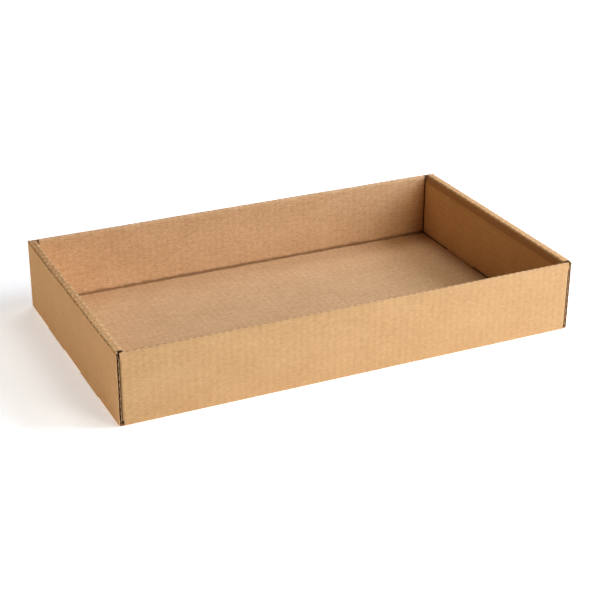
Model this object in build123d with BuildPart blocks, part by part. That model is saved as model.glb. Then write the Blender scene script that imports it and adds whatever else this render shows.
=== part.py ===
"""Roll-end tray folded from one die-cut sheet of single-wall corrugated board.

Frame: X runs along the length, Y across the width, Z up. The origin lies on the underside of the base,
below the middle of the tray. All sizes are in millimetres.
"""
from build123d import *
import os

# Driving dimensions
inside_length = 508.0  # between the inner end panels
inside_width = 304.8  # between the long walls
wall_height = 82.0  # underside of the base to the cut top edge of a long wall
end_rise = 1.0  # the rolled ends stand this much above the long walls
board = 4.0  # thickness of the board away from its creases
layer_gap = 0.3  # air between one layer of board and the next

# Folds
fold_radius = 2.2  # outside radius of a right-angle fold
groove_radius = 0.9  # crushed groove along the inside of a fold

# Rolled top of each end: a narrow band between two crushed creases
band_width = 9.0  # outside width of the band
band_board = 2.8  # thickness of the band
crushed_board = 2.4  # thickness left at its two creases
roll_radius = 2.6  # outside radius of the two creases
roll_drop = 8.0  # the layers below reach full thickness this far below the top

# Corner flaps
flap_reach = 62.0  # outside of the long wall to the free edge of its flap
flap_drop = 8.0  # the flap stops this far below the top of the wall
flap_chamfer = 9.0  # on the two free corners of a flap

# End panels
end_setback = 1.0  # an outer panel stops this far short of the outside of a long wall
inner_side_gap = 0.6  # air between an inner panel's side edge and a long wall

# Locking tabs and their slots
tab_length = 59.0
tab_offset = 59.0  # middle of the end to the middle of a tab
tab_end_gap = 0.5  # air at each end of a tab in its slot
tab_lift = 0.6  # the tab stops this far above the underside of the base
tab_chamfer = 1.6  # on the two lower corners of a tab
slot_back_gap = 0.5  # air between a tab and the inward edge of its slot

# Sizes that follow
stack = 3 * board + 2 * layer_gap
half_length = inside_length / 2 + stack
half_width = inside_width / 2 + board
end_height = wall_height + end_rise
roll_height = end_height - roll_drop
band_underside = end_height - band_board
layer_bottom = board + layer_gap
flap_top = wall_height - flap_drop
flap_height = flap_top - layer_bottom
flap_depth = board + layer_gap
outer_panel_width = 2 * (half_width - end_setback)
inner_panel_width = inside_width - 2 * inner_side_gap
inner_panel_face = stack - board
slot_length = tab_length + 2 * tab_end_gap
slot_width = stack + slot_back_gap - board
overlap = 2 * board  # how far neighbouring regions of the sheet run into each other


def end_section(side):
    """Cross-section plane of one end: x runs inwards from the outside face, y runs up."""
    return Plane(origin=(side * half_length, 0, 0), x_dir=(-side, 0, 0), z_dir=(0, side, 0))


def end_layer(side, depth):
    """Plane of one layer of an end, its depth measured inwards: x runs across the width, y runs up."""
    return Plane(origin=(side * (half_length - depth), 0, 0), x_dir=(0, -side, 0), z_dir=(-side, 0, 0))


def nearest_vertex(sketch, x, y):
    """The vertex of a sketch at a given local point."""
    return sketch.vertices().sort_by_distance((x, y))[0]


with BuildPart() as tray:
    # Base and long walls: a U-shaped section between the folds of the corner flaps
    with BuildSketch(Plane.YZ) as trough:
        with BuildLine():
            Polyline(
                (-half_width, 0),
                (half_width, 0),
                (half_width, wall_height),
                (half_width - board, wall_height),
                (half_width - board, board),
                (board - half_width, board),
                (board - half_width, wall_height),
                (-half_width, wall_height),
                close=True,
            )
        make_face()
        fillet(trough.vertices().filter_by_position(Axis.Y, -layer_gap, layer_gap), fold_radius)
        with Locations((board - half_width, board), (half_width - board, board)):
            Circle(groove_radius, mode=Mode.SUBTRACT)
    extrude(amount=half_length - flap_depth - fold_radius, both=True)

    for side in (-1, 1):
        # Outer end panel up to its top crease, with the strip of base that it folds up from
        with BuildSketch(end_section(side)) as outer_panel:
            with BuildLine():
                Polyline(
                    (0, 0),
                    (stack + overlap, 0),
                    (stack + overlap, board),
                    (board, board),
                    (board, roll_height),
                    (crushed_board, band_underside),
                    (crushed_board, end_height),
                    (0, end_height),
                    close=True,
                )
            make_face()
            fillet(nearest_vertex(outer_panel, 0, 0), fold_radius)
            fillet(nearest_vertex(outer_panel, 0, end_height), roll_radius - layer_gap)
            with Locations((board, board)):
                Circle(groove_radius, mode=Mode.SUBTRACT)
        extrude(amount=outer_panel_width / 2, both=True)

        # Band and inner panel: the sheet rolls over the top and comes down to the base
        with BuildSketch(end_section(side)) as rolled_panel:
            with BuildLine():
                Polyline(
                    (0, roll_height),
                    (board, roll_height),
                    (crushed_board, band_underside),
                    (band_width - crushed_board, band_underside),
                    (inner_panel_face, roll_height),
                    (inner_panel_face, layer_bottom),
                    (stack, layer_bottom),
                    (stack, roll_height),
                    (band_width, end_height),
                    (0, end_height),
                    close=True,
                )
            make_face()
            fillet(nearest_vertex(rolled_panel, 0, end_height), roll_radius)
            fillet(nearest_vertex(rolled_panel, band_width, end_height), roll_radius)
            fillet(nearest_vertex(rolled_panel, stack, roll_height), roll_drop)
        extrude(amount=inner_panel_width / 2, both=True)

        for wall in (-1, 1):
            # Corner fold: the long wall turns the corner behind the outer end panel
            fold_plane = Plane(
                origin=(side * (half_length - flap_depth), wall * half_width, layer_bottom),
                x_dir=(-side, 0, 0),
                z_dir=(0, 0, side * wall),
            )
            with BuildSketch(fold_plane) as corner_fold:
                with BuildLine():
                    Polyline(
                        (0, 0),
                        (overlap, 0),
                        (overlap, board),
                        (board, board),
                        (board, overlap),
                        (0, overlap),
                        close=True,
                    )
                make_face()
                fillet(nearest_vertex(corner_fold, 0, 0), fold_radius)
                with Locations((board, board)):
                    Circle(groove_radius, mode=Mode.SUBTRACT)
            extrude(amount=side * wall * flap_height)

            # Corner flap, flat between the outer and the inner end panel
            flap_length = flap_reach - board - groove_radius
            flap_middle = half_width - flap_reach + flap_length / 2
            with BuildSketch(end_layer(side, flap_depth)) as corner_flap:
                with Locations((-side * wall * flap_middle, layer_bottom + flap_height / 2)):
                    Rectangle(flap_length, flap_height)
                free_corners = corner_flap.vertices().sort_by(Axis.X)
                chamfer(free_corners[:2] if side * wall < 0 else free_corners[-2:], flap_chamfer)
            extrude(amount=board)

        # Slots across the fold, with the square cut edge that each leaves on the outer panel
        slot_centre = side * (half_length - board - slot_width / 2)
        with BuildSketch(Plane.XY):
            with Locations((slot_centre, -tab_offset), (slot_centre, tab_offset)):
                Rectangle(slot_width, slot_length)
        extrude(amount=board, mode=Mode.SUBTRACT)
        cut_edge = side * (half_length - board / 2)
        with BuildSketch(Plane.XY):
            with Locations((cut_edge, -tab_offset), (cut_edge, tab_offset)):
                Rectangle(board, slot_length)
        extrude(amount=overlap)

        # Tabs on the inner panel, down into the slots
        tab_height = layer_bottom + overlap - tab_lift
        with BuildSketch(end_layer(side, inner_panel_face)) as tabs:
            with Locations(
                (-tab_offset, tab_lift + tab_height / 2),
                (tab_offset, tab_lift + tab_height / 2),
            ):
                Rectangle(tab_length, tab_height)
            chamfer(tabs.vertices().group_by(Axis.Y)[0], tab_chamfer)
        extrude(amount=board)

tray.part.label = "tray"

os.makedirs("parts", exist_ok=True)
export_step(tray.part, "parts/tray.step")
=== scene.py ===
"""Roll-end tray of brown corrugated board, folded from one die-cut sheet.

The sheet is drawn flat, as its two liners and the fluted medium between them, and then folded. A point of
the flat sheet is (a, b): a runs along the tray, across the flutes, and b runs along the flutes. The third
number, depth, is 0 on the outside face of the board and 1 on its inside face. Sizes are in millimetres
until the meshes are made, in metres.
"""
import bisect
import math

import bpy
import numpy as np
from mathutils import Matrix, Vector


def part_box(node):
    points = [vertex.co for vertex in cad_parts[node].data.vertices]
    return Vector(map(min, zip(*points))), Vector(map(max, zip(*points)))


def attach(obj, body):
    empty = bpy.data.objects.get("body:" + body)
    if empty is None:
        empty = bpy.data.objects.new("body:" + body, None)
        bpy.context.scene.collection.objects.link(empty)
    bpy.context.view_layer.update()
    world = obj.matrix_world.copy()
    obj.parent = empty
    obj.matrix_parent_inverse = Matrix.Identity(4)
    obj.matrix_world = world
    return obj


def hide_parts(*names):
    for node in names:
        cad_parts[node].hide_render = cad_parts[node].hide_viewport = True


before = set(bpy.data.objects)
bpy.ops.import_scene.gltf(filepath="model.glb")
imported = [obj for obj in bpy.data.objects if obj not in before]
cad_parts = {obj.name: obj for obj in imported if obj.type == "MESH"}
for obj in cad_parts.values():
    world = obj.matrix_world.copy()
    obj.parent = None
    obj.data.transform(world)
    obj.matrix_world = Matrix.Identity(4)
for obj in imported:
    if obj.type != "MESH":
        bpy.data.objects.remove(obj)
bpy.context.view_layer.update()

MM = 0.001

# The tray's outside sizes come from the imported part
tray_top = np.array(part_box("tray")[1]) / MM
half_length, half_width, end_height = [float(size) for size in tray_top]

# The sheet's own sizes are those of the part's source
board = 4.0
layer_gap = 0.3
end_rise = 1.0
wall_height = end_height - end_rise
stack = 3 * board + 2 * layer_gap
fold_radius = 2.2
band_width = 9.0
band_board = 2.8
crushed_board = 2.4
roll_radius = 2.6
roll_drop = 8.0
flap_reach = 62.0
flap_drop = 8.0
flap_chamfer = 9.0
end_setback = 1.0
tab_length = 59.0
tab_offset = 59.0
tab_end_gap = 0.5
tab_lift = 0.6
slot_back_gap = 0.5

# Air beside and below an inner panel, a little more than the part's, as hand folding leaves it
side_gap = 1.3
foot_gap = 1.0

layer_bottom = board + layer_gap
flap_top = wall_height - flap_drop
flap_face = half_length - board - layer_gap
panel_half = half_width - end_setback
inner_half = half_width - board - side_gap
slot_half = tab_length / 2 + tab_end_gap
slot_back = half_length - stack - slot_back_gap

# Corrugated board
flute_pitch = 7.8
liner_thick = 0.36 / board
medium_thick = 0.30 / board
washboard = 0.05 / board  # how far the liners sink between the flute tips
medium_recess = 0.05  # the medium stops this far inside a cut edge
side_recess = 0.3  # and this far inside the two side edges of an outer end panel
wall_crush = 0.66  # share of its thickness that the board loses at the top edge of a wall
panel_crush = 0.34  # the same at a side edge of an outer end panel
rolled_crush = 0.68  # the same at the ends of the band and the sides of the inner panel
crush_reach = 1.5  # the loss fades over about this distance from the edge
crush_rows = (0.9, 2.0, 4.0)  # rows of points at these distances from the edge follow it

# Creases
groove = 0.9  # radius of the crushed groove along the inside of a fold
fold_zone = 5.5  # the fold lies within this distance of the outside corner
bead = 0.5  # rounding of the crushed inside of the two top creases
nick_pitch = 11.2  # the two top creases are perforated
nick_length = 5.8
nick_open = {"outer crease": 0.55, "inner crease": 0.24}
nick_lift = 0.4
wear_reach = 2.2  # folds look worn within about this distance

# Cuts
slit = 0.05  # width of a cut between two panels that stay side by side
lip_lift = 0.3  # a lip beside a slot starts this far above the fold
stub_lap = 0.1  # the top of a wall runs this far behind the outer panel
slot_edges = [face * tab_offset + side * slot_half for face in (-1, 1) for side in (-1, 1)]
tab_edges = [face * tab_offset + side * tab_length / 2 for face in (-1, 1) for side in (-1, 1)]

# The grid of cells
grid_clearance = 0.25  # its lines keep this far from the needed ones
short_step = 2.0  # and lie this far apart on the narrow strips
tolerance = 0.01  # lines closer together than this are the same line
sharp_angle = 50  # degrees between faces at a sharp edge

# Studio, in metres and degrees
floor_radius = 4.0
floor_sides = 96
floor_drop = 0.0002
floor_glow = 0.45  # strength of the floor's own light near the tray
far_glow = 1.05  # and far from it
glow_near, glow_far = 0.9, 2.6  # the one turns into the other between these distances
light_distance = 2.6
light_size = 1.0
aim_height = 0.03
camera_place = (-0.6529, -1.3934, 0.7437)
camera_turns = (25.296, 25.145, 0.227)  # yaw to the right, pitch downwards, and roll
camera_lens = 89.07

rng = np.random.default_rng(12)


def in_slot(b):
    """Whether a point at this distance from the middle of an end lies on its slot."""
    return abs(b - tab_offset) < slot_half + 0.001


def in_tab(b):
    """Whether a point at this distance from the middle of an end lies on its tab."""
    return abs(b - tab_offset) < tab_length / 2


# Fold paths -------------------------------------------------------------------------------------------

def line(start, end, steps):
    """Points evenly along a straight run."""
    return [tuple(p) for p in np.linspace(start, end, steps + 1)]


def arc(start, corner, end, steps):
    """Points along the circular arc that is tangent to start-corner at start and to corner-end at end."""
    start, corner, end = [np.array(p, float) for p in (start, corner, end)]
    inward, outward = corner - start, end - corner
    cosine = inward @ outward / np.linalg.norm(inward) / np.linalg.norm(outward)
    weight = math.sqrt((1 + cosine) / 2)
    points = []
    for t in np.linspace(0, 1, steps + 1):
        parts = ((1 - t) ** 2, 2 * weight * t * (1 - t), t ** 2)
        total = sum(parts)
        points.append(tuple((parts[0] * start + parts[1] * corner + parts[2] * end) / total))
    return points


def join(*runs):
    """Runs end to end, without the points that they share."""
    points = list(runs[0])
    for run in runs[1:]:
        points += run[1:]
    return points


class FoldPath:
    """A strip of the sheet in section. Distance along it is measured on the outside face."""

    def __init__(self, zones):
        self.distance, self.outside, self.inside, self.zone = [0.0], [], [], {}
        for name, outside, inside in zones:
            first = len(self.distance) - 1
            assert len(outside) == len(inside), name
            skip = 1 if self.outside else 0
            for before, after in zip(outside, outside[1:]):
                self.distance.append(self.distance[-1] + math.dist(before, after))
            self.outside += outside[skip:]
            self.inside += inside[skip:]
            self.zone[name] = self.distance[first:]
        self.outside, self.inside = np.array(self.outside), np.array(self.inside)

    def middle(self, name):
        """The distance to the middle of a zone."""
        return (self.zone[name][0] + self.zone[name][-1]) / 2

    def at(self, distance, depth):
        """Points at a distance along the strip and a depth through it."""
        found = []
        for axis in (0, 1):
            outer = np.interp(distance, self.distance, self.outside[:, axis])
            inner = np.interp(distance, self.distance, self.inside[:, axis])
            found.append(outer + (inner - outer) * depth)
        return found


def right_angle(corner, along, up):
    """A fold's outside and inside faces: the sheet comes along, and turns up round the outside corner."""
    corner, along, up = np.array(corner, float), np.array(along, float), np.array(up, float)

    def at(back, rise):
        return tuple(corner - back * along + rise * up)

    outside = join(
        line(at(fold_zone, 0), at(fold_radius, 0), 2),
        arc(at(fold_radius, 0), at(0, 0), at(0, fold_radius), 6),
        line(at(0, fold_radius), at(0, fold_zone), 2),
    )
    turns = np.radians(np.linspace(180, -90, 9))
    valley = [at(board - groove * math.cos(turn), board - groove * math.sin(turn)) for turn in turns]
    inside = join(
        line(at(fold_zone, board), valley[0], 1),
        valley,
        line(valley[-1], at(board, fold_zone), 1),
    )
    return outside, inside


def end_path():
    """Middle of the base, outwards, up the outer end panel, over the rolled top and down to the base."""
    edge, top = half_length, end_height
    across = edge - band_width
    inner = edge - stack
    slope = np.array([inner - across, -roll_drop])
    slope /= np.linalg.norm(slope)
    trim = roll_radius * math.tan(math.acos(-slope[0]) / 2)
    foot = 2.0  # the bend below the slope reaches this far to each side of its corner
    under = top - band_board
    crease = (edge - crushed_board, under)
    crease_back = (across + crushed_board, under)
    shoulder = (inner + board, top - roll_drop)
    inside_slope = np.array(shoulder) - crease_back
    inside_slope /= np.linalg.norm(inside_slope)
    slope_start, slope_end = (across, top) + trim * slope, (inner, top - roll_drop) - foot * slope
    under_start, under_end = crease_back + bead * inside_slope, shoulder - foot * inside_slope
    out_fold, in_fold = right_angle((edge, 0), (1, 0), (0, 1))
    return FoldPath([
        ("base", line((0, 0), (edge - fold_zone, 0), 1), line((0, board), (edge - fold_zone, board), 1)),
        ("fold", out_fold, in_fold),
        ("outer panel", line((edge, fold_zone), (edge, top - roll_drop), 1),
         line((edge - board, fold_zone), (edge - board, top - roll_drop), 1)),
        ("neck", line((edge, top - roll_drop), (edge, top - roll_radius), 8),
         line((edge - board, top - roll_drop), (crease[0], under - bead), 8)),
        ("outer crease", arc((edge, top - roll_radius), (edge, top), (edge - roll_radius, top), 6),
         arc((crease[0], under - bead), crease, (crease[0] - bead, under), 6)),
        ("band", line((edge - roll_radius, top), (across + trim, top), 6),
         line((crease[0] - bead, under), (crease_back[0] + bead, under), 6)),
        ("inner crease", arc((across + trim, top), (across, top), slope_start, 6),
         arc((crease_back[0] + bead, under), crease_back, under_start, 6)),
        ("shoulder", line(slope_start, slope_end, 6), line(under_start, under_end, 6)),
        ("bend", arc(slope_end, (inner, top - roll_drop), (inner, top - roll_drop - foot), 3),
         arc(under_end, shoulder, (shoulder[0], shoulder[1] - foot), 3)),
        ("inner panel", line((inner, top - roll_drop - foot), (inner, board + foot_gap), 1),
         line((shoulder[0], shoulder[1] - foot), (shoulder[0], board + foot_gap), 1)),
        ("tab", line((inner, board + foot_gap), (inner, tab_lift), 2),
         line((shoulder[0], board + foot_gap), (shoulder[0], tab_lift), 2)),
    ])


def wall_path():
    """Middle of the base, outwards across the width and up a long wall."""
    out_fold, in_fold = right_angle((half_width, 0), (1, 0), (0, 1))
    start = half_width - fold_zone
    return FoldPath([
        ("base", line((0, 0), (start, 0), 1), line((0, board), (start, board), 1)),
        ("fold", out_fold, in_fold),
        ("wall", line((half_width, fold_zone), (half_width, wall_height), 1),
         line((half_width - board, fold_zone), (half_width - board, wall_height), 1)),
    ])


def flap_path():
    """Along a long wall and round the corner into its flap. The second number is the distance inwards."""
    out_fold, in_fold = right_angle((flap_face, 0), (1, 0), (0, 1))
    start = flap_face - fold_zone
    return FoldPath([
        ("wall", line((0, 0), (start, 0), 1), line((0, board), (start, board), 1)),
        ("fold", out_fold, in_fold),
        ("flap", line((flap_face, fold_zone), (flap_face, flap_reach), 1),
         line((flap_face - board, fold_zone), (flap_face - board, flap_reach), 1)),
    ])


END, WALL, FLAP = end_path(), wall_path(), flap_path()

straight_end = END.zone["fold"][0] - 2 * slit  # the low part of a wall ends here, beside the end's fold
# A corner flap leaves a long wall between these two places along b
flap_low, flap_high = WALL.zone["fold"][-1], WALL.zone["wall"][-1] - flap_drop


def lines_of(side, name):
    """The lines of a zone of one end."""
    return [side * a for a in END.zone[name]]


def fold(a, b, depth, region):
    """Folds points of the flat sheet up into the tray."""
    side, face = np.sign(a), np.sign(b)
    x, z = END.at(abs(a), depth)
    folded = np.stack([x * side, b, z], 1)

    on = region == "wall"
    y, z = WALL.at(abs(b[on]), depth[on])
    folded[on] = np.stack([a[on], y * face[on], z], 1)

    on = region == "flap"
    height = WALL.at(abs(b[on]), depth[on])[1]
    middle = (layer_bottom + flap_top) / 2
    past = abs(a[on]) - FLAP.distance[-1] + flap_chamfer
    height = middle + (height - middle) * (1 - np.maximum(past, 0) / (flap_top - middle))
    x, inwards = FLAP.at(abs(a[on]), depth[on])
    folded[on] = np.stack([x * side[on], (half_width - inwards) * face[on], height], 1)

    on = region == "lip"
    below = END.zone["outer panel"][0] - abs(a[on])
    x = half_length - board * depth[on]
    folded[on] = np.stack([x * side[on], b[on], fold_zone - below], 1)
    return folded


def settle(points):
    """The slight bow and waviness of hand-folded board, under a millimetre and alike in every layer."""
    x, y, z = points.T
    rise = z / end_height
    along, across = x / half_length, y / half_width
    bowed = points.copy()
    bowed[:, 1] += across * rise * (0.5 * np.cos(1.5 * along) + 0.18 * np.sin(7.1 * along + 2 * across))
    bowed[:, 0] += along * rise * (0.35 * np.cos(1.5 * across) + 0.12 * np.sin(6.3 * across + along))
    bowed[:, 2] += 0.3 * (1 - rise) * np.cos(1.5 * along) * np.cos(1.5 * across)
    bowed[:, 2] += 0.10 * rise * np.sin(11 * along + 5 * across)
    return bowed


# The flat sheet ---------------------------------------------------------------------------------------

def spaced(start, end, step):
    """Lines from start to end, no further apart than step."""
    return list(np.linspace(start, end, max(1, math.ceil((end - start) / step - 1e-6)) + 1))


def fluted(start, end, per_flute):
    """Lines from start to end that fall at the same places on every flute."""
    step = flute_pitch / per_flute
    inside = np.arange(math.ceil(start / step), math.floor(end / step) + 1) * step
    return merged((start, end), inside)


def merged(needed, *runs):
    """The needed lines, and of the others those that are clear of them, in order."""
    lines = sorted(set(round(float(value), 3) for value in needed))
    for run in runs:
        fixed = np.array(lines)
        lines += [round(float(v), 3) for v in run if abs(fixed - v).min() > grid_clearance]
    return sorted(set(lines))


class Sheet:
    """Cells of the flat sheet. A corner is (a, b, cut): cells share a corner unless cut says otherwise."""

    def __init__(self, per_flute, b_step, recess, side_recess, nicks):
        self.per_flute, self.b_step, self.nicks = per_flute, b_step, nicks
        self.recess, self.panel_edge = recess, panel_half - side_recess
        self.cells, self.region, self.parted = [], {}, {}
        self.on_a, self.on_b = {}, {}
        self.draw_base_and_walls()
        for side in (-1, 1):
            self.draw_end(side)

    def corner(self, a, b, cut, region):
        """A corner's key. Corners without a cut are noted, so that neighbours can meet them."""
        key = (a, b, cut)
        self.region.setdefault(key, region)
        if not cut:
            self.on_a.setdefault(a, set()).add(b)
            self.on_b.setdefault(b, set()).add(a)
        return key

    def patch(self, region, a_lines, b_lines, cut="", keep=None, seams=()):
        """Adds a grid of cells. A cut patch shares only the corners on its seams with its neighbours."""
        a_lines, b_lines = [sorted({round(float(v), 3) for v in lines}) for lines in (a_lines, b_lines)]

        def key(a, b):
            shared = any(min(abs(abs(a) - seam), abs(abs(b) - seam)) < tolerance for seam in seams)
            return self.corner(a, b, "" if shared else cut, region)

        for a0, a1 in zip(a_lines, a_lines[1:]):
            for b0, b1 in zip(b_lines, b_lines[1:]):
                if keep is None or keep(abs(b0 + b1) / 2, abs(a0 + a1) / 2):
                    self.cells.append([key(a0, b0), key(a1, b0), key(a1, b1), key(a0, b1)])

    def crease(self, a_lines, b_lines, nicks):
        """A perforated crease: its middle line parts in two along each nick."""
        a_lines = sorted({round(float(v), 3) for v in a_lines})
        middle = a_lines[len(a_lines) // 2]

        def key(a, b, way):
            for start, opening in nicks:
                share = (b - start) / nick_length
                if a == middle and 0.01 < share < 0.99:
                    lens = math.sin(math.pi * share)
                    parted = self.corner(a, b, "nick%+d" % way, "end")
                    self.parted[parted] = (way * opening * lens, lens)
                    return parted
            return self.corner(a, b, "", "end")

        for a0, a1 in zip(a_lines, a_lines[1:]):
            way = -1 if a1 <= middle else 1
            for b0, b1 in zip(b_lines, b_lines[1:]):
                self.cells.append([key(a, b, way) for a, b in ((a0, b0), (a1, b0), (a1, b1), (a0, b1))])

    def draw_base_and_walls(self):
        """The base, and each long wall with the flaps at its two ends."""
        fold_a, corner_a, fold_b = END.zone["fold"][0], FLAP.zone["fold"][0], WALL.zone["fold"][0]
        cuts = (fold_a, corner_a, straight_end, straight_end + slit, slot_back)
        needed = [side * a for side in (-1, 1) for a in cuts]
        base_a = merged(needed, fluted(-fold_a, fold_a, self.per_flute))
        base_b = merged(slot_edges + [-fold_b, fold_b], spaced(-fold_b, fold_b, self.b_step))
        self.patch("end", base_a, base_b, keep=lambda b, a: not (in_slot(b) and a > slot_back))

        wall_a = [a for a in base_a if abs(a) < corner_a + tolerance]
        top = WALL.zone["wall"][-1] - self.recess
        needed = WALL.zone["fold"] + [flap_high, top] + [top - row for row in crush_rows]
        rows = merged(needed, spaced(flap_low, flap_high, self.b_step / 2))
        for face in (-1, 1):
            self.patch("wall", wall_a, [face * b for b in rows])
            for side in (-1, 1):
                self.draw_corner(side, face, base_a, rows)

    def draw_corner(self, side, face, base_a, rows):
        """The end of a long wall: its flap, the wall below and above the flap, and the base beside it."""
        corner_a, fold_b = FLAP.zone["fold"][0], WALL.zone["fold"][0]
        corner, step = "%+d%+d" % (side, face), flute_pitch / self.per_flute
        low = spaced(corner_a, straight_end - self.recess, step)
        high = spaced(corner_a, flap_face + stub_lap - self.recess, step)
        for name, stub, part in (
            ("low", low, [b for b in rows if b < flap_low + tolerance]),
            ("high", high, [b for b in rows if b > flap_high - tolerance]),
        ):
            self.patch("wall", [side * a for a in stub], [face * b for b in part],
                       cut=name + corner, seams=(corner_a, fold_b))

        ends = [flap_low + slit + self.recess, flap_high - slit - self.recess]
        flap_rows = merged(ends, [b for b in rows if ends[0] < b < ends[1]])
        turn = FLAP.zone["fold"] + fluted(FLAP.zone["fold"][-1], FLAP.distance[-1], self.per_flute)
        self.patch("flap", [side * a for a in turn], [face * b for b in flap_rows],
                   cut="flap" + corner, seams=(corner_a,))

        strip_a = [side * a for a in base_a if straight_end + slit - tolerance < a]
        strip_b = [face * b for b in spaced(fold_b, self.panel_edge, short_step)]
        self.patch("end", strip_a, strip_b)

    def draw_end(self, side):
        """An end: outer panel, band between its two perforated creases, and inner panel with tabs."""
        panel_edge, inner_edge, fold_b = self.panel_edge, inner_half - self.recess, WALL.zone["fold"][0]
        needed = slot_edges + tab_edges
        for face in (-1, 1):
            needed += [face * fold_b, face * panel_edge, face * inner_edge]
            needed += [face * (edge - row) for edge in (panel_edge, inner_edge) for row in crush_rows]
        across = merged(needed, spaced(-fold_b, fold_b, self.b_step))
        narrow = [b for b in across if abs(b) < inner_edge + tolerance]

        self.draw_outer_panel(side, across)
        for name in ("outer crease", "inner crease"):
            marks = self.nicks[side, name]
            ends = [start + share * nick_length for start, _ in marks for share in np.linspace(0, 1, 6)]
            self.crease(lines_of(side, name), merged(narrow + ends), marks)
        for face in (-1, 1):
            beside = [b for b in across if face * b > inner_edge - tolerance]
            self.patch("end", lines_of(side, "outer crease"), beside)
        for name in ("band", "shoulder", "bend"):
            self.patch("end", lines_of(side, name), narrow)
        self.patch("end", self.panel_lines(side, "inner panel"), narrow)
        self.patch("end", lines_of(side, "tab"), narrow, keep=lambda b, a: in_tab(b))

    def panel_lines(self, side, name):
        """Lines at every flute across one panel of an end."""
        start, end = END.zone[name][0], END.zone[name][-1]
        return [side * a for a in fluted(start, end, self.per_flute)]

    def draw_outer_panel(self, side, across):
        """The outer panel of an end, with the square lip that each slot leaves at its foot."""
        self.patch("end", lines_of(side, "fold"), across, keep=lambda b, a: not in_slot(b))
        self.patch("end", self.panel_lines(side, "outer panel"), across)
        self.patch("end", lines_of(side, "neck"), across)
        foot = END.zone["outer panel"][0]
        lip = [side * a for a in spaced(foot - fold_zone + lip_lift, foot, short_step)]
        for face in (-1, 1):
            self.patch("lip", lip, [b for b in across if in_slot(face * b)],
                       cut="lip%+d%+d" % (side, face), seams=(foot,))

    def polygons(self):
        """Each cell's corners in order, with any corner of a neighbour that lies along its edge."""
        on_a = {a: sorted(found) for a, found in self.on_a.items()}
        on_b = {b: sorted(found) for b, found in self.on_b.items()}

        def between(start, end):
            if start[2] or end[2]:
                return []
            along = 1 if start[0] == end[0] else 0
            values = on_a[start[0]] if along else on_b[start[1]]
            low, high = sorted((start[along], end[along]))
            found = values[bisect.bisect_right(values, low):bisect.bisect_left(values, high)]
            keys = [(start[0], v, "") if along else (v, start[1], "") for v in found]
            return keys[::-1] if start[along] == high else keys

        for cell in self.cells:
            corners = []
            for start, end in zip(cell, cell[1:] + cell[:1]):
                corners.append(start)
                corners += between(start, end)
            yield corners


def nick_count():
    """How many nicks a crease has."""
    return int(2 * (inner_half - nick_length) // nick_pitch)


def perforations():
    """Where the nicks start along each crease of each end, and how far each has opened."""
    made = {}
    count = nick_count()
    for side in (-1, 1):
        for crease in ("outer crease", "inner crease"):
            first = -(count - 1) / 2 * nick_pitch - nick_length / 2
            starts = first + np.arange(count) * nick_pitch + rng.uniform(-0.25, 0.25, count)
            openings = nick_open[crease] * rng.uniform(0.6, 1.3, count)
            made[side, crease] = list(zip(starts.tolist(), openings.tolist()))
    return made


# Layers of the board ----------------------------------------------------------------------------------

def flute(a):
    """The medium's wave: 1 where it touches the inside liner, -1 where it touches the outside liner."""
    return np.cos(2 * np.pi * a / flute_pitch)


def pressed(a, b, region):
    """How far the cutting die has pressed in each side of the board, along edges that cross the flutes."""
    rolled = abs(a) > END.zone["outer crease"][-1] + tolerance
    on_wall = region == "wall"
    on_end = (region == "end") & (abs(a) > END.zone["fold"][0] - 0.5)
    edge = np.where(on_wall, WALL.distance[-1], np.where(rolled, inner_half, panel_half))
    most = np.where(on_wall, wall_crush, np.where(rolled, rolled_crush, panel_crush))
    loss = most * np.exp(-((edge - abs(b)) / crush_reach) ** 2) * (on_end | on_wall)
    outer_share = np.where(rolled & on_end, 0.1, 0.5)
    return loss * outer_share, loss * (1 - outer_share)


def outside_liner(a, press_out, press_in):
    """Depths of the outside liner's two faces."""
    return press_out + washboard * (1 + flute(a)) / 2, press_out + liner_thick


def inside_liner(a, press_out, press_in):
    """Depths of the inside liner's two faces."""
    return 1 - press_in - liner_thick, 1 - press_in - washboard * (1 - flute(a)) / 2


def medium(a, press_out, press_in):
    """Depths of the fluted medium's two faces."""
    reach = 0.5 - liner_thick - medium_thick / 2 - (press_out + press_in) / 2
    slope = reach * board * 2 * np.pi / flute_pitch * np.sin(2 * np.pi * a / flute_pitch)
    half = medium_thick / 2 * np.sqrt(1 + slope ** 2)
    middle = 0.5 + (press_out - press_in) / 2 + reach * flute(a)
    return middle - half, middle + half


def wear_of(a, b, region):
    """How near a point is to the middle of a fold or crease, from 0 to 1."""
    folds_a = [END.middle(name) for name in ("fold", "outer crease", "inner crease")]
    fold_b, corner = WALL.middle("fold"), FLAP.middle("fold")
    away = np.min([abs(abs(a) - fold_a) for fold_a in folds_a], axis=0)
    away = np.where(region == "wall", abs(abs(b) - fold_b), away)
    away = np.where(region == "flap", abs(abs(a) - corner), away)
    away = np.minimum(away, np.where(region == "end", abs(abs(b) - fold_b), away))
    return np.exp(-(away / wear_reach) ** 2)


def shell(loops, count):
    """The faces of a closed mesh: the outer and the inner face of a layer, then its cut edge."""
    edges = {(u, v) for loop in loops for u, v in zip(loop, loop[1:] + loop[:1])}
    rim = sorted(edge for edge in edges if (edge[1], edge[0]) not in edges)
    faces = [loop[::-1] for loop in loops]
    faces += [[i + count for i in loop] for loop in loops]
    faces += [[v + count, u + count, u, v] for u, v in rim]
    return faces


def store(mesh, name, kind, field, rows):
    """Keeps numbers with the points of a mesh, for its materials."""
    kept = mesh.attributes.new(name, kind, "POINT")
    kept.data.foreach_set(field, np.asarray(rows, np.float32).ravel())


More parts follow.
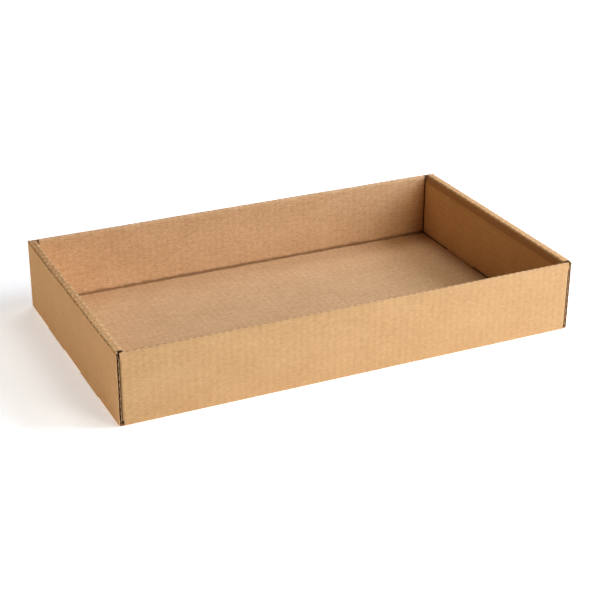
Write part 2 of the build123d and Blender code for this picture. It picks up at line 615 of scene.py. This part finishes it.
def build(name, sheet, faces_at, materials):
    """One layer as a closed mesh. Its materials are for its two faces and for its cut edge."""
    polygons = list(sheet.polygons())
    keys = list({key: None for corners in polygons for key in corners})
    index = {key: i for i, key in enumerate(keys)}
    loops = [[index[key] for key in corners] for corners in polygons]
    a = np.array([key[0] for key in keys])
    b = np.array([key[1] for key in keys])
    region = np.array([sheet.region[key] for key in keys])
    shift, lift = np.array([sheet.parted.get(key, (0.0, 0.0)) for key in keys]).T
    depths = faces_at(a, *pressed(a, b, region))
    points = []
    for depth in depths:
        points.append(settle(fold(a + shift, b, depth - lift * nick_lift / board, region)))

    mesh = bpy.data.meshes.new(name)
    faces = shell(loops, len(keys))
    mesh.from_pydata((np.concatenate(points) * MM).tolist(), [], faces)
    for material in materials:
        mesh.materials.append(material)
    is_rim = np.arange(len(faces)) >= 2 * len(loops)
    mesh.polygons.foreach_set("material_index", is_rim.astype(np.int32))
    mesh.polygons.foreach_set("use_smooth", np.ones(len(faces), bool))
    places = np.stack([np.tile(a, 2), np.tile(b, 2), np.concatenate(depths) * board], 1)
    store(mesh, "sheet", "FLOAT_VECTOR", "vector", places * MM)
    store(mesh, "wear", "FLOAT", "value", np.tile(wear_of(a, b, region), 2))
    mesh.update()
    mesh.set_sharp_from_angle(angle=math.radians(sharp_angle))
    piece = bpy.data.objects.new(name, mesh)
    bpy.context.scene.collection.objects.link(piece)
    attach(piece, "root")
    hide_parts("tray")
    return piece


# Materials --------------------------------------------------------------------------------------------

def linear(colour):
    """An sRGB colour as linear RGBA."""
    return tuple(((c + 0.055) / 1.055) ** 2.4 if c > 0.04045 else c / 12.92 for c in colour) + (1.0,)


class Paint:
    """A material being put together from nodes."""

    def __init__(self, name):
        self.material = bpy.data.materials.new(name)
        self.material.use_nodes = True
        self.tree = self.material.node_tree
        self.shader = self.tree.nodes["Principled BSDF"]

    def add(self, kind, sockets, **settings):
        """Adds a node. A socket is given a number or colour, or joined to another node's output."""
        node = self.tree.nodes.new(kind)
        for name, value in settings.items():
            setattr(node, name, value)
        for name, value in sockets.items():
            self.feed(node.inputs[name], value)
        return node

    def feed(self, socket, value):
        if isinstance(value, bpy.types.NodeSocket):
            self.tree.links.new(value, socket)
        else:
            socket.default_value = value

    def attribute(self, name, output):
        return self.add("ShaderNodeAttribute", {}, attribute_name=name).outputs[output]

    def place(self, axis):
        """The place on the flat sheet along a (axis 0) or b (axis 1), in metres."""
        return self.add("ShaderNodeSeparateXYZ", {0: self.attribute("sheet", "Vector")}).outputs[axis]

    def maths(self, operation, first, second=0.0, third=0.0):
        node = self.add("ShaderNodeMath", {0: first, 1: second, 2: third}, operation=operation)
        return node.outputs[0]

    def product(self, first, *others):
        """Several values multiplied together."""
        for other in others:
            first = self.maths("MULTIPLY", first, other)
        return first

    def flute_wave(self):
        """1 where the medium touches the inside liner, -1 where it touches the outside liner."""
        return self.maths("COSINE", self.product(self.place(0), 2 * math.pi / (flute_pitch * MM)))

    def between(self, value, low, high, out_low=0.0, out_high=1.0):
        """A value brought from one range to another, smoothly and without going past either end."""
        sockets = {"Value": value, "From Min": low, "From Max": high, "To Min": out_low, "To Max": out_high}
        return self.add("ShaderNodeMapRange", sockets, interpolation_type="SMOOTHSTEP").outputs["Result"]

    def noise(self, length, width, detail=3.0, roughness=0.6, offset=0.0):
        """Noise with grains of this length along a and this width along b, in metres."""
        grain = (1 / length, 1 / width, 1 / width)
        place = self.attribute("sheet", "Vector")
        scaled = self.add("ShaderNodeVectorMath", {0: place, 1: grain, 2: (offset, offset, offset)},
                          operation="MULTIPLY_ADD").outputs[0]
        sockets = {"Vector": scaled, "Scale": 1.0, "Detail": detail, "Roughness": roughness}
        return self.add("ShaderNodeTexNoise", sockets).outputs["Fac"]

    def mix(self, factor, first, second, blend="MIX"):
        sockets = {0: factor, 6: first, 7: second}
        return self.add("ShaderNodeMix", sockets, data_type="RGBA", blend_type=blend).outputs[2]

    def ramp(self, value, stops):
        node = self.add("ShaderNodeValToRGB", {"Fac": value})
        elements = node.color_ramp.elements
        while len(elements) < len(stops):
            elements.new(0.5)
        for element, (place, colour) in zip(elements, stops):
            element.position = place
            element.color = linear(colour)
        return node.outputs["Color"]

    def finish(self, colour, roughness, bump, strength):
        """Joins colour, roughness and relief to the shader."""
        self.feed(self.shader.inputs["Base Color"], colour)
        self.feed(self.shader.inputs["Roughness"], roughness)
        self.shader.inputs["Specular IOR Level"].default_value = 0.35
        relief = self.add("ShaderNodeBump", {"Height": bump, "Strength": strength, "Distance": 0.0004})
        self.feed(self.shader.inputs["Normal"], relief.outputs["Normal"])
        return self.material


def kraft_liner(name, dark, middle, light, seed, grit=1.0, marks=None):
    """Brown liner paper: fibres along a, blotches, flecks, the flutes showing through and worn folds."""
    paint = Paint(name)
    blotch = paint.noise(0.045, 0.030, detail=2.0, offset=seed)
    mottle = paint.noise(0.0065, 0.0045, detail=4.0, roughness=0.65, offset=seed + 3)
    fibre = paint.noise(0.0060, 0.0009, detail=3.0, roughness=0.7, offset=seed + 7)
    grain = paint.noise(0.0011, 0.0008, detail=2.0, offset=seed + 11)
    tone = paint.maths("MULTIPLY_ADD", blotch, 0.18, 0.5 - 0.09)
    for value, amount in ((mottle, 0.32), (fibre, 0.50 * grit), (grain, 0.80 * grit)):
        tone = paint.maths("ADD", tone, paint.maths("MULTIPLY_ADD", value, amount, -amount / 2))
    tone = paint.maths("ADD", tone, paint.product(paint.flute_wave(), 0.018))
    colour = paint.ramp(tone, ((0.1, dark), (0.5, middle), (0.9, light)))

    dark_fleck = paint.between(paint.noise(0.0032, 0.0007, detail=1.0, offset=seed + 19), 0.70, 0.78)
    colour = paint.mix(paint.product(dark_fleck, 0.35), colour, linear((0.50, 0.36, 0.23)))
    light_fleck = paint.between(paint.noise(0.0026, 0.0006, detail=1.0, offset=seed + 23), 0.70, 0.80)
    colour = paint.mix(paint.product(light_fleck, 0.40), colour, linear((0.93, 0.80, 0.60)))
    if marks:
        colour = marks(paint, colour)
    rough_patch = paint.between(paint.noise(0.004, 0.0035, detail=4.0), 0.38, 0.72)
    scuff = paint.product(paint.attribute("wear", "Fac"), rough_patch, 0.30)
    colour = paint.mix(scuff, colour, linear((0.93, 0.79, 0.58)))

    roughness = paint.between(fibre, 0.2, 0.8, 0.72, 0.90)
    height = paint.maths("ADD", paint.product(fibre, 0.6), paint.product(grain, 0.5))
    return paint.finish(colour, roughness, height, 0.35)


# Where the two top creases lie on the sheet, in metres
outer_crease, inner_crease = END.middle("outer crease") * MM, END.middle("inner crease") * MM


def rolled_top(paint, colour):
    """The rolled top of an end: its band with rubbed patches and painted light and shade, painted shade on
    its slope, and its torn nicks with painted highlights.
    """
    reach = paint.maths("ABSOLUTE", paint.place(0))
    for part in (band_rubs_and_painted_light, painted_slope_shade, torn_nicks_and_highlights):
        colour = part(paint, colour, reach)
    return colour


def band_rubs_and_painted_light(paint, colour, reach):
    """The band: painted shade, browner towards the back of the left end, and pale rubbed patches over a
    painted highlight that lightens the whole band.
    """
    band = paint.product(
        paint.between(reach, outer_crease - 0.0016, outer_crease),
        paint.between(reach, inner_crease + 0.001, inner_crease),
    )
    # Painted shade: the left end's band turns browner towards its back
    left_end = paint.between(paint.place(0), 0.1, -0.1)
    painted_shade = paint.product(band, left_end, paint.between(paint.place(1), -0.15, 0.12, 0.0, 0.75))
    colour = paint.mix(painted_shade, colour, linear((0.60, 0.41, 0.24)))
    # Pale rubbed patches, over a painted highlight of at least a quarter strength on the whole band
    patches = paint.noise(0.0030, 0.0045, detail=4.0, roughness=0.7, offset=61)
    rub_and_painted_light = paint.product(band, paint.between(patches, 0.46, 0.60, 0.25, 0.80))
    return paint.mix(rub_and_painted_light, colour, linear((0.97, 0.77, 0.56)))


def painted_slope_shade(paint, colour, reach):
    """Painted shade: darker brown on the slope inside the band of the right end."""
    slope = paint.product(
        paint.between(reach, inner_crease + 0.0012, inner_crease + 0.0026),
        paint.between(reach, inner_crease + 0.0120, inner_crease + 0.0080),
        paint.between(paint.place(0), -0.1, 0.1, 0.0, 0.45),
    )
    # The slope's colour is mixed towards dark brown as painted shade
    return paint.mix(slope, colour, linear((0.57, 0.34, 0.15)))


def torn_nicks_and_highlights(paint, colour, reach):
    """Pale torn fibre at the nicks along the two creases, with painted highlight where the raised lips
    catch the light.
    """
    count, pitch = nick_count(), nick_pitch * MM
    first = -((count - 1) * nick_pitch + nick_length) / 2 * MM
    share = paint.maths("FRACT", paint.maths("MULTIPLY_ADD", paint.place(1), 1 / pitch, -first / pitch))
    share = paint.product(share, nick_pitch / nick_length)
    uneven = paint.between(paint.noise(0.02, 0.011, offset=64), 0.30, 0.62, 0.35, 1.0)
    along = paint.product(paint.between(share, -0.1, 0.2), paint.between(share, 1.15, 0.8), uneven)
    fray = paint.noise(0.0012, 0.0018, detail=3.0, offset=67)
    ragged = paint.maths("MULTIPLY_ADD", fray, 0.0036, -0.0018)
    for middle, width, amount in (
        (inner_crease - 0.0003, 0.0024, 0.58),
        (outer_crease + 0.0009, 0.0014, 0.50),
    ):
        away = paint.maths("ABSOLUTE", paint.maths("SUBTRACT", reach, middle))
        # Torn fibre and painted highlight along each nick
        torn_and_lit = paint.between(paint.maths("ADD", away, ragged), width, width / 2)
        colour = paint.mix(paint.product(torn_and_lit, along, amount), colour, linear((1.0, 0.88, 0.69)))
    return colour


def painted_fold_shade(paint, colour):
    """Painted shade: darker brown along the folds of the long walls, and a painted shadow line where the
    inner panels meet the base and walls.
    """
    away = paint.maths("SUBTRACT", paint.maths("ABSOLUTE", paint.place(1)), WALL.middle("fold") * MM)
    uneven = paint.maths("MULTIPLY_ADD", paint.noise(0.016, 0.006, detail=3.0, offset=71), 0.006, -0.003)
    away = paint.maths("ADD", paint.maths("ABSOLUTE", away), uneven)
    # Painted shade along the fold between the base and each long wall
    colour = paint.mix(paint.between(away, 0.0074, 0.0050, 0.0, 0.52), colour, linear((0.47, 0.30, 0.16)))
    seam = (half_length - stack) * MM
    reach = paint.maths("ABSOLUTE", paint.place(0))
    # Painted shadow in the gap where an inner panel stands against the base and walls
    rub_and_painted_light = paint.between(reach, seam - 0.0013, seam - 0.0004, 0.0, 0.75)
    return paint.mix(rub_and_painted_light, colour, linear((0.27, 0.16, 0.08)))


def cut_board(name, dark, middle, light):
    """Sheared paper: pale fibre ends in fine uneven grain, dotted by the flutes along the top of a wall."""
    paint = Paint(name)
    fray = paint.noise(0.0008, 0.0006, detail=3.0)
    drift = paint.noise(0.012, 0.012, detail=2.0, offset=5)
    tone = paint.maths("MULTIPLY_ADD", fray, 0.9, -0.2)
    tone = paint.maths("ADD", tone, paint.maths("MULTIPLY_ADD", drift, 0.5, -0.1))
    out = paint.maths("ABSOLUTE", paint.place(1))
    dots = paint.between(out, half_width * MM, (half_width + board) * MM, 0.05, 0.3)
    tone = paint.maths("ADD", tone, paint.product(paint.flute_wave(), dots))
    colour = paint.ramp(tone, ((0.1, dark), (0.5, middle), (0.9, light)))
    return paint.finish(colour, paint.between(fray, 0.2, 0.8, 0.84, 0.95), fray, 0.6)


def pale_floor():
    """A smooth pale studio floor with a faint light of its own, stronger far from the tray."""
    paint = Paint("pale_floor")
    place = paint.add("ShaderNodeTexCoord", {}).outputs["Object"]
    cloud = paint.add("ShaderNodeTexNoise", {"Vector": place, "Scale": 3.0, "Detail": 2.0}).outputs["Fac"]
    colour = paint.ramp(cloud, ((0.0, (0.955, 0.955, 0.955)), (1.0, (0.975, 0.975, 0.975))))
    paint.feed(paint.shader.inputs["Emission Color"], colour)
    far = paint.add("ShaderNodeVectorMath", {0: place}, operation="LENGTH").outputs["Value"]
    glow = paint.between(far, glow_near, glow_far, floor_glow, far_glow)
    paint.feed(paint.shader.inputs["Emission Strength"], glow)
    paint.material.cycles.emission_sampling = "NONE"
    return paint.finish(colour, 0.9, cloud, 0.0)


# Studio -----------------------------------------------------------------------------------------------

def add_floor():
    """A large disc under the tray."""
    mesh = bpy.data.meshes.new("floor")
    turns = np.arange(floor_sides) * 2 * math.pi / floor_sides
    ring = np.stack([np.cos(turns), np.sin(turns), 0 * turns], 1) * floor_radius
    ring[:, 2] = -floor_drop
    mesh.from_pydata(ring.tolist(), [], [list(range(floor_sides))])
    mesh.materials.append(pale_floor())
    floor = bpy.data.objects.new("floor", mesh)
    bpy.context.scene.collection.objects.link(floor)


def add_light(name, azimuth, elevation, power, tint=(1.0, 1.0, 1.0)):
    """A square soft light aimed at the tray. Azimuth 0 is in front of the tray and 90 is to its right."""
    around, above = math.radians(azimuth), math.radians(elevation)
    level = Vector((math.sin(around), -math.cos(around), 0.0))
    away = math.cos(above) * level + math.sin(above) * Vector((0.0, 0.0, 1.0))
    light = bpy.data.lights.new(name, "AREA")
    light.shape = "SQUARE"
    light.size, light.energy, light.color = light_size, power, tint
    lamp = bpy.data.objects.new(name, light)
    lamp.location = Vector((0, 0, aim_height)) + light_distance * away
    lamp.rotation_euler = away.to_track_quat("Z", "Y").to_euler()
    bpy.context.scene.collection.objects.link(lamp)


def add_camera():
    """The camera, turned to the right of straight ahead and looking down on the tray."""
    yaw, pitch, roll = [math.radians(turn) for turn in camera_turns]
    level = Vector((math.cos(yaw), -math.sin(yaw), 0.0))
    ahead = Vector((math.sin(yaw), math.cos(yaw), 0.0))
    forward = math.cos(pitch) * ahead - math.sin(pitch) * Vector((0.0, 0.0, 1.0))
    upright = level.cross(forward)
    right = math.cos(roll) * level + math.sin(roll) * upright
    up = math.cos(roll) * upright - math.sin(roll) * level
    turned = Matrix((right, up, -forward)).transposed().to_4x4()
    data = bpy.data.cameras.new("camera")
    data.lens = camera_lens
    camera = bpy.data.objects.new("camera", data)
    camera.matrix_world = Matrix.Translation(camera_place) @ turned
    bpy.context.scene.collection.objects.link(camera)
    bpy.context.scene.camera = camera


def add_world(seen, given):
    """White surroundings, seen bright behind the floor but giving little light."""
    world = bpy.data.worlds.new("surroundings")
    world.use_nodes = True
    nodes, links = world.node_tree.nodes, world.node_tree.links
    direct = nodes.new("ShaderNodeLightPath").outputs["Is Camera Ray"]
    strength = nodes.new("ShaderNodeMath")
    strength.operation = "MULTIPLY_ADD"
    links.new(direct, strength.inputs[0])
    strength.inputs[1].default_value = seen - given
    strength.inputs[2].default_value = given
    background = nodes["Background"]
    background.inputs["Color"].default_value = (1.0, 1.0, 1.0, 1.0)
    links.new(strength.outputs[0], background.inputs["Strength"])
    bpy.context.scene.world = world


# The tray ---------------------------------------------------------------------------------------------

outer_kraft = kraft_liner("outer_kraft", (0.66, 0.505, 0.335), (0.804, 0.645, 0.462),
                          (0.90, 0.765, 0.585), 0.0, grit=0.9, marks=rolled_top)
inner_kraft = kraft_liner("inner_kraft", (0.70, 0.54, 0.39), (0.856, 0.702, 0.534),
                          (0.96, 0.825, 0.67), 40.0, grit=1.6, marks=painted_fold_shade)
medium_kraft = kraft_liner("medium_kraft", (0.52, 0.39, 0.27), (0.66, 0.51, 0.36), (0.76, 0.61, 0.46), 80.0)
cut_liner = cut_board("cut_liner", (0.70, 0.52, 0.35), (0.97, 0.84, 0.67), (1.0, 0.97, 0.89))
cut_medium = cut_board("cut_medium", (0.58, 0.39, 0.25), (0.79, 0.56, 0.37), (0.92, 0.73, 0.53))

nicks = perforations()
liner_sheet = Sheet(4, 20.0, 0.0, 0.0, nicks)
medium_sheet = Sheet(8, 45.0, medium_recess, side_recess, nicks)
build("tray_outer_liner", liner_sheet, outside_liner, (outer_kraft, cut_liner))
build("tray_inner_liner", liner_sheet, inside_liner, (inner_kraft, cut_liner))
build("tray_medium", medium_sheet, medium, (medium_kraft, cut_medium))

add_floor()
add_camera()
add_world(seen=1.0, given=0.03)
add_light("key", 70, 38, 32.0, (0.94, 1.02, 1.20))
add_light("front", 24, 38, 17.0, (1.03, 1.0, 0.88))
add_light("front_low", 55, 18, 19.5, (0.95, 1.02, 1.20))
add_light("back_right", 150, 62, 12.5)
add_light("left_low", -90, 4, 18.5, (1.0, 0.78, 0.52))
bpy.context.scene.view_settings.view_transform = "Standard"
bpy.context.scene.view_settings.look = "Medium High Contrast"
